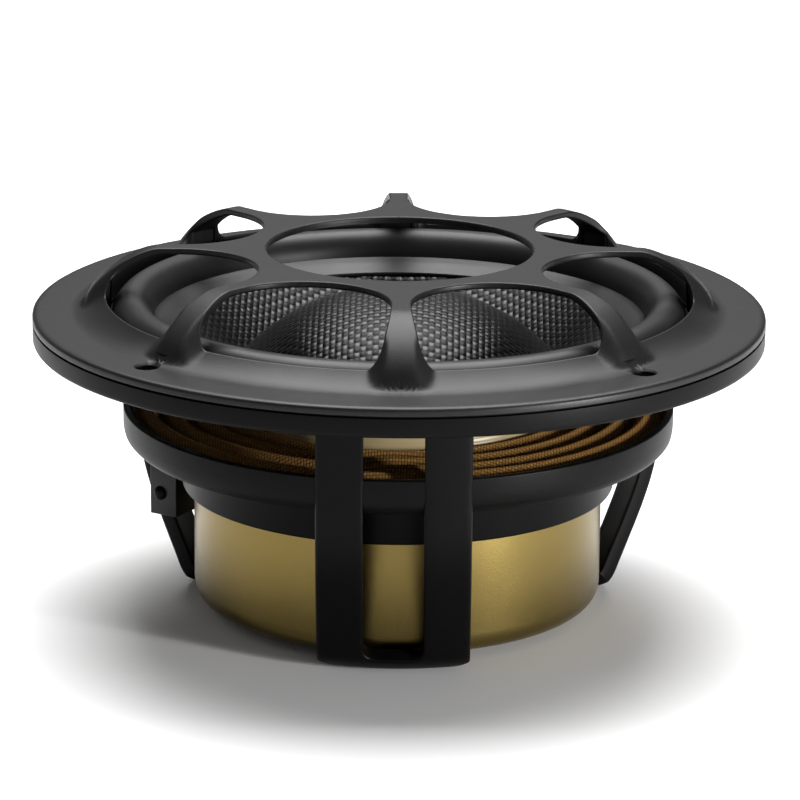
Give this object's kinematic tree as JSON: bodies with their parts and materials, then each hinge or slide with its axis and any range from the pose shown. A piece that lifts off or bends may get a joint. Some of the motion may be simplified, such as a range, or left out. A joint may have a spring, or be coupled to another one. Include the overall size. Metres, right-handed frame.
{
  "type": "car midbass speaker driver",
  "caption": "Round car midbass driver: domed windowed grille, woven cone and dust cap, rubber surround, caged basket on legs and a wide gold pot motor.",
  "frame": {"origin": "on the speaker's axis, on the surface that its base stands on", "axes": "+Z along the axis, out of the front of the cone; -Y towards the front pair of legs; the terminals are on the left-hand pair of legs, which stands to the back left"},
  "size_m": [0.1674, 0.1674, 0.0849],
  "materials": {
    "satin_black": "satin powder coat",
    "gasket": "matte",
    "black_steel": "satin black plate",
    "gold_steel": "bead-blasted champagne gold plate on steel",
    "magnet": "nickel plate",
    "bare_steel": "zinc plate",
    "copper": "bright copper",
    "rubber": "semi-matte butyl rubber",
    "woven_carbon": "lacquered carbon-look weave",
    "fibreglass": "resin-bound glass cloth",
    "spider_cloth": "resin-dipped cotton weave",
    "board": "laminate board",
    "brass": "tinned",
    "lead_braid": "braided copper"
  },
  "bodies": {
    "frame": {"grille": "satin_black", "trim_gasket": "gasket", "basket": "satin_black", "motor_ring": "black_steel", "magnet_cup": "gold_steel", "magnet": "magnet", "pole_plate": "bare_steel", "shorting_ring": "copper", "vent_screen": "black_steel", "surround": "rubber", "spider": "spider_cloth", "terminal_board": "board", "terminal_rivet": "black_steel", "terminal_positive": "brass", "terminal_negative": "brass", "lead_positive": "lead_braid", "lead_negative": "lead_braid", "ring_screw_1": "bare_steel", "ring_screw_2": "bare_steel", "ring_screw_3": "bare_steel", "ring_screw_4": "bare_steel", "ring_screw_5": "bare_steel", "ring_screw_6": "bare_steel", "cup_screw_1": "bare_steel", "cup_screw_2": "bare_steel", "cup_screw_3": "bare_steel", "cup_screw_4": "bare_steel", "cup_screw_5": "bare_steel", "cup_screw_6": "bare_steel", "hub_screw_1": "bare_steel", "hub_screw_2": "bare_steel", "hub_screw_3": "bare_steel"},
    "cone_body": {"cone": "woven_carbon", "dust_cap": "woven_carbon", "coil_former": "fibreglass", "voice_coil": "copper"}
  },
  "joints": [
    {"name": "cone_travel", "type": "slide", "parent": "frame", "child": "cone_body", "axis": [0, 0, 1], "range_m": [-0.005, 0.005], "stiffness_N_per_m": 2000, "deforming": ["surround", "spider", "lead_positive", "lead_negative"]}
  ]
}
